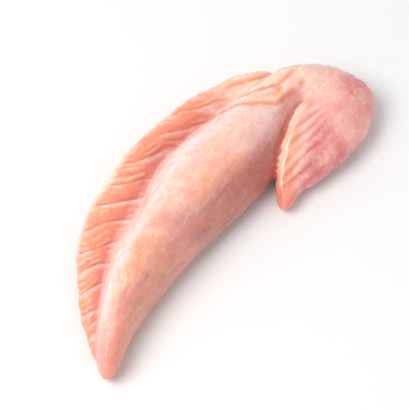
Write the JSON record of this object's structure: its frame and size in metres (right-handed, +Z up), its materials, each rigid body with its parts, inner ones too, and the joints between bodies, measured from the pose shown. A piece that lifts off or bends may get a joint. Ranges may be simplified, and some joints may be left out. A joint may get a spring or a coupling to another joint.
{
  "type": "raw chicken wing with folded tip",
  "caption": "Raw chicken wing portion: a rounded forearm with a pleated web of skin along one side and the pointed tip folded back along the other.",
  "frame": {"origin": "middle of the bounding box, on the surface that the wing lies on", "axes": "+X from the elbow to the wrist, +Y towards the pleated web of skin, +Z up from the flat underside"},
  "size_m": [0.12, 0.056, 0.021],
  "materials": {
    "raw_skin": "raw poultry skin, pale pink to cream, wet and glossy, with fine pores"
  },
  "bodies": {
    "root": {"wing": "raw_skin"}
  },
  "joints": []
}
